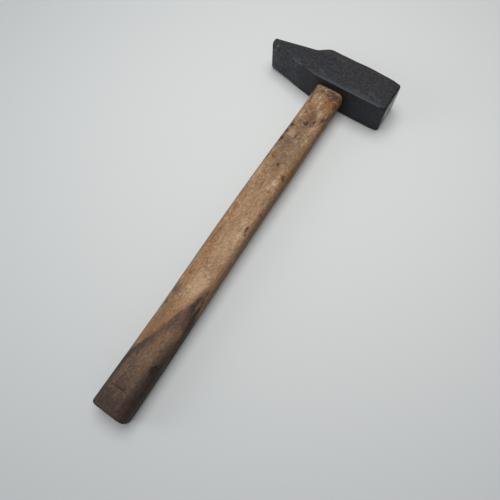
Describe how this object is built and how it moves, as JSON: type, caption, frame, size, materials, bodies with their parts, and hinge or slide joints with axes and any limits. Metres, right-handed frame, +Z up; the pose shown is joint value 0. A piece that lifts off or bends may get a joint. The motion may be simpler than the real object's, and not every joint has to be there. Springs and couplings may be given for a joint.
{
  "type": "cross-peen hammer",
  "caption": "Cross-peen engineer's hammer: a forged square head with a flat face and a wedge peen, on a wooden handle held by a wood wedge and a steel ring wedge.",
  "frame": {"origin": "on the lower cheek, below the middle of the eye, where the handle's axis crosses the head", "axes": "+X along the head towards the striking face, +Y along the handle towards the top of the hammer, +Z up through both cheeks. The hammer lies on its lower cheek."},
  "size_m": [0.122, 0.3597, 0.033],
  "materials": {
    "forged_steel": "black forging scale, with a face worn bright",
    "aged_ash": "bare ash, handled and stained dark towards the butt",
    "hardwood_wedge": "bare sawn hardwood",
    "wedge_steel": "bare mild steel, dulled"
  },
  "bodies": {
    "root": {"head": "forged_steel", "handle": "aged_ash", "wood_wedge": "hardwood_wedge", "ring_wedge": "wedge_steel"}
  },
  "joints": []
}
